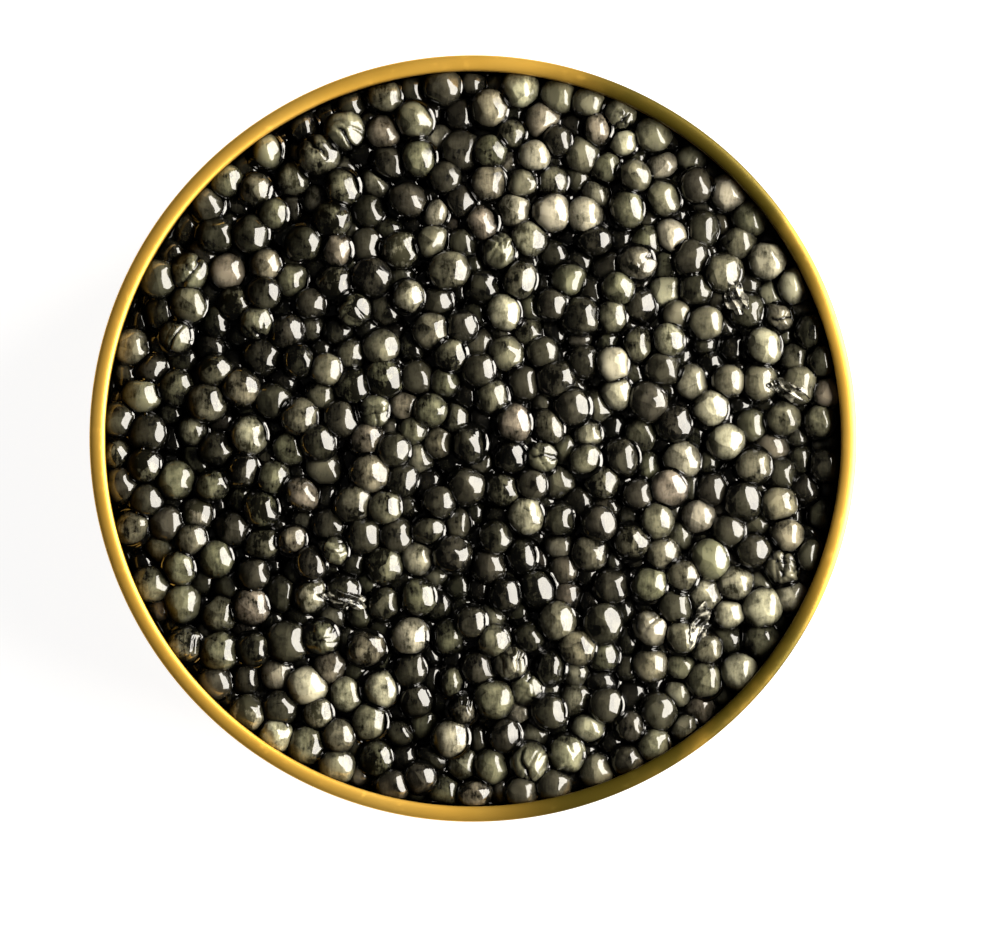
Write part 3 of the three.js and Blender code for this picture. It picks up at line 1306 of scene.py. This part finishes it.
@dataclass
class Droplets:
    """Small drops of brine that sit in the grooves between eggs."""

    bed: Bed
    seed: int = 41
    count: int = 150
    shown_below: float = 1.0
    least: float = 0.09
    most: float = 0.2
    highest: float = 0.35  # over the rim
    fineness: int = 3
    finish: Brine = Brine("drop", gloss=1.6)

    def build(self) -> list[bpy.types.Object]:
        """Builds the drops as one joined mesh of small balls.

        A drop of radius r that rests on two touching eggs of radius R has its centre sqrt(2 R r + r r) above
        the point where they touch, across the line between them. It is sunk in a little.

        Returns:
            The piece.
        """
        bed = self.bed
        rng = np.random.default_rng(self.seed)
        first, second = bed.near_pairs(0.0)
        high = np.nonzero(bed.pair_below_top(first, second) < self.shown_below)[0]
        chosen = rng.permutation(high)[: self.count]
        first, second = first[chosen], second[chosen]
        along = unit(bed.centres[second] - bed.centres[first])
        upright = np.array([0, 0, 1.0])
        sideways = np.cross(along, upright) * rng.normal(0, 0.7, (len(chosen), 1))
        up = unit(unit(upright - along[:, 2:] * along) + sideways)
        size = rng.uniform(self.least, self.most, (len(chosen), 1))
        radius = np.minimum(bed.radii[first], bed.radii[second])[:, None]
        centres = bed.touch(first, second) + up * np.sqrt(2 * radius * size + size**2) * 0.97
        centres[:, 2] = np.minimum(centres[:, 2], bed.tin.height + self.highest)
        directions, quads = ball_grid(self.fineness)
        stretch = rng.uniform(0.8, 1.25, (len(chosen), 1, 3))
        points = centres[:, None] + size[..., None] * directions * stretch
        return [dress_caviar(copies("droplets", bed.tin.kept_in(points), quads), self.finish)]


@dataclass
class SkinScraps:
    """Crumpled skins of burst eggs that lie on the heap, at named places across it."""

    bed: Bed
    places: tuple[tuple[float, float], ...] = ((28.1, 4.2), (23.4, 12.4), (20.1, -16.6), (-11.3, -14.4))
    seed: int = 53
    across: int = 48  # points along a side of a scrap's grid
    drapes: int = 60
    length: float = 3.4
    width: float = 1.7
    ruffle: float = 0.26
    highest: float = 19.6
    thickness: float = 0.05
    lift: float = 0.05
    swell: float = 1.06
    deepest: float = 1.6
    finish: BurstSkin = BurstSkin()

    def heap(self, x: np.ndarray, y: np.ndarray) -> np.ndarray:
        """Height of the eggs' skins over each point.

        It is the highest of cz + flatten sqrt(r r - d d) for the eggs there, with d the level distance.

        Args:
            x: Places along X.
            y: Places along Y.

        Returns:
            Heights in millimetres.
        """
        cx, cy, cz = self.bed.centres.T
        radius = self.bed.radii * self.swell
        apart = np.hypot(x[..., None] - cx, y[..., None] - cy)
        cap = np.sqrt(np.maximum(radius**2 - apart**2, 0))
        skin = np.where(apart < radius, cz + Eggs.flatten * cap, -np.inf)
        return np.maximum(skin.max(axis=-1), self.bed.top(x, y) - self.deepest)

    def sheet(self, place: tuple[float, float], rng: np.random.Generator) -> tuple[np.ndarray, np.ndarray]:
        """Works out one scrap as a thin closed sheet draped over the eggs.

        The outline is an oval that sways with sines of 2, 5 and 9 times the angle round it. The sheet starts
        on the heap, and each drape lifts every inner point to the mean of its four neighbours where that is
        higher. Then the folds are added: two sets of nearly parallel ridges, highest where their sines are 0.

        Args:
            place: X and Y of its middle.
            rng: Source of its outline and folds.

        Returns:
            Points and faces.
        """
        u, v = disc(self.across)
        around = np.arctan2(v, u)
        phase = rng.uniform(0, 2 * math.pi, 6)
        uneven = 1 + 0.2 * np.sin(2 * around + phase[0]) + 0.14 * np.sin(5 * around + phase[1])
        uneven += 0.09 * np.sin(9 * around + phase[2])
        turn = rng.uniform(0, math.pi)
        along, across = u * uneven * self.length / 2, v * uneven * self.width / 2
        x = place[0] + along * math.cos(turn) - across * math.sin(turn)
        y = place[1] + along * math.sin(turn) + across * math.cos(turn)
        bend = 0.9 * np.sin(1.5 * along + phase[5])
        folds = 1.5 - np.abs(np.sin(4.6 * across + 0.9 * along + bend + phase[3]))
        folds -= 0.5 * np.abs(np.sin(2.1 * along - 1.4 * across + phase[4]))
        under_sheet = self.heap(x, y)
        z = under_sheet.copy()
        for _ in range(self.drapes):
            mean = (z[2:, 1:-1] + z[:-2, 1:-1] + z[1:-1, 2:] + z[1:-1, :-2]) / 4
            z[1:-1, 1:-1] = np.maximum(under_sheet[1:-1, 1:-1], mean)
        z = np.minimum(z + self.lift + self.ruffle * folds, self.highest)
        top = np.stack([x, y, z], axis=-1).reshape(-1, 3)
        under = top - np.array([0, 0, self.thickness])
        rim, faces, count = outline(self.across), grid_quads(self.across, self.across, False), len(top)
        return rows(top, under), rows(faces[:, ::-1], faces + count, band(rim, rim + count))

    def build(self) -> list[bpy.types.Object]:
        """Builds all scraps as one joined mesh.

        Returns:
            The piece.
        """
        rng = np.random.default_rng(self.seed)
        piece = joined("skin_scraps", [self.sheet(place, rng) for place in self.places])
        return [dress_caviar(piece, self.finish)]


@dataclass
class Core:
    """The dark body under the showing eggs, with brine drawn up round each egg; its near black is painted
    shade in the depths between them.
    """

    bed: Bed
    across: int = 151  # points along a side of the surface's grid
    level_below_top: float = 3.3
    climb: float = 0.4
    climb_width: float = 0.3
    wall_climb: float = 1.2
    wall_climb_width: float = 0.7
    gap: float = 0.05
    side_step: float = 1.0  # from the wall, at the top of the tin's corner
    foot_step: float = 1.5  # from the wall, at the floor
    batch: int = 4096  # points worked out at a time
    # painted shade: the core's near black stands for the shaded depths of the heap
    finish: Brine = Brine("deep_brine", gloss=1.2)

    def surface(self, x: np.ndarray, y: np.ndarray) -> np.ndarray:
        """Height of the brine: a level under the heap's top, drawn up round the eggs and at the wall.

        It climbs by exp(-(d / width) squared), where d is the distance to an egg's section at the level, or
        to the wall.

        Args:
            x: Places along X.
            y: Places along Y.

        Returns:
            Heights in millimetres.
        """
        level = self.bed.top(x, y) - self.level_below_top
        flat_x, flat_y = x.ravel(), y.ravel()
        raised = np.zeros(len(flat_x))
        cx, cy, cz = self.bed.centres.T
        egg_level = self.bed.top(cx, cy) - self.level_below_top
        section = np.sqrt(np.maximum(self.bed.radii**2 - (egg_level - cz) ** 2, 0))
        meets = section > 0
        for start in range(0, len(flat_x), self.batch):
            part = slice(start, start + self.batch)
            apart = np.hypot(flat_x[part, None] - cx[meets], flat_y[part, None] - cy[meets])
            ring = np.exp(-(((apart - section[meets]) / self.climb_width) ** 2))
            raised[part] = ring.max(axis=1)
        from_wall = self.bed.tin.wall_inside - np.hypot(x, y)
        at_wall = np.exp(-((from_wall / self.wall_climb_width) ** 2))
        return level + self.climb * raised.reshape(x.shape) + self.wall_climb * at_wall

    def build(self) -> list[bpy.types.Object]:
        """Builds the closed core: the brine's surface, a wall along the tin and a flat bottom.

        Returns:
            The piece.
        """
        tin = self.bed.tin
        x, y = (tin.wall_inside - self.gap) * np.stack(disc(self.across))
        top = np.stack([x, y, self.surface(x, y)], axis=-1).reshape(-1, 3)
        rim = outline(self.across)
        bottom = tin.floor + self.gap
        levels = [(tin.wall_inside - self.side_step - self.gap, tin.floor + tin.corner)]
        levels.append((tin.wall_bottom - self.foot_step, bottom))
        sides = [np.column_stack([unit(top[rim, :2]) * r, np.full(len(rim), z)]) for r, z in levels]
        side, foot = len(top) + np.arange(len(rim)), len(top) + len(rim) + np.arange(len(rim))
        centre = np.full(len(rim), len(top) + 2 * len(rim))
        quads = rows(grid_quads(self.across, self.across, False)[:, ::-1], band(rim, side), band(side, foot))
        fan = np.stack([centre, np.roll(foot, -1), foot], axis=-1)
        core = make_object("caviar_core", rows(top, *sides, np.array([[0, 0, bottom]])), quads, fan)
        return [dress_caviar(core, self.finish)]


# The studio


@dataclass
class Studio:
    """A pale floor, a low window-like light on the right, a dim even room light, and the camera."""

    tin: Tin
    elevation: float = 88.0
    lens: float = 135.0
    sensor: float = 36.0
    floor_half: float = 1500.0
    window_at: Place = (266.0, 36.0, 146.0)
    window_size: tuple[float, float] = (400.0, 280.0)
    window_power: float = 5.1  # watts
    window_colour: Colour = (1.0, 0.95, 0.855)
    room_colour: Colour = (1.0, 0.99, 0.97)
    room_strength: float = 0.025

    def floor(self) -> None:
        """Lays the floor under the tin."""
        half = self.floor_half
        points = np.array([[-half, -half, 0], [half, -half, 0], [half, half, 0], [-half, half, 0]])
        floor = make_object("floor", points, np.array([[0, 1, 2, 3]]))
        floor.data.materials.append(Floor().material())

    def window(self) -> None:
        """Hangs the window, a rectangular light that faces the heap."""
        data = bpy.data.lights.new("window", "AREA")
        data.shape = "RECTANGLE"
        data.size, data.size_y = self.window_size[0] * MM, self.window_size[1] * MM
        data.energy = self.window_power
        data.color = self.window_colour
        light = bpy.data.objects.new("window", data)
        bpy.context.scene.collection.objects.link(light)
        light.location = Vector(self.window_at) * MM
        aim = Vector((0, 0, self.tin.height * MM)) - light.location
        light.rotation_euler = aim.to_track_quat("-Z", "Y").to_euler()
        light.visible_camera = False

    def world(self) -> None:
        """Fills the room with a dim even light."""
        world = bpy.data.worlds.new("studio")
        world.use_nodes = True
        background = world.node_tree.nodes["Background"]
        background.inputs["Color"].default_value = (*self.room_colour, 1.0)
        background.inputs["Strength"].default_value = self.room_strength
        bpy.context.scene.world = world

    def camera(self) -> None:
        """Places the camera over the tin so that the rim falls where the photograph has it."""
        data = bpy.data.cameras.new("camera")
        data.lens = self.lens
        data.sensor_width = self.sensor
        data.dof.use_dof = False
        frame_width = PHOTO_WIDTH * 2 * self.tin.radius / PHOTO_TIN_WIDTH
        distance = frame_width * self.lens / self.sensor
        data.shift_x = (PHOTO_WIDTH / 2 - PHOTO_TIN_CENTRE[0]) / PHOTO_WIDTH
        data.shift_y = (PHOTO_TIN_CENTRE[1] - PHOTO_HEIGHT / 2) / PHOTO_WIDTH
        camera = bpy.data.objects.new("camera", data)
        bpy.context.scene.collection.objects.link(camera)
        tilt = math.radians(self.elevation)
        target = Vector((0, 0, self.tin.height))
        camera.location = (target + Vector((0, -math.cos(tilt), math.sin(tilt))) * distance) * MM
        camera.rotation_euler = (math.pi / 2 - tilt, 0, 0)
        data.clip_start = 0.01
        bpy.context.scene.camera = camera

    def build(self) -> None:
        """Sets up the whole studio."""
        self.camera()
        self.floor()
        self.world()
        self.window()
        bpy.context.scene.view_settings.view_transform = "Standard"


def main() -> None:
    """Builds the dressed tin of caviar and its studio."""
    logging.basicConfig(level=logging.INFO, format="%(message)s")
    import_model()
    tin = Tin()
    Studio(tin).build()
    bed = Bed(tin)
    bed.settle()
    for part in (tin, Eggs(bed), BrineRims(bed), WetBeads(bed), Droplets(bed), SkinScraps(bed), Core(bed)):
        for piece in part.build():
            LOG.info("%s: %d faces", piece.name, len(piece.data.polygons))


if __name__ == "__main__":
    main()
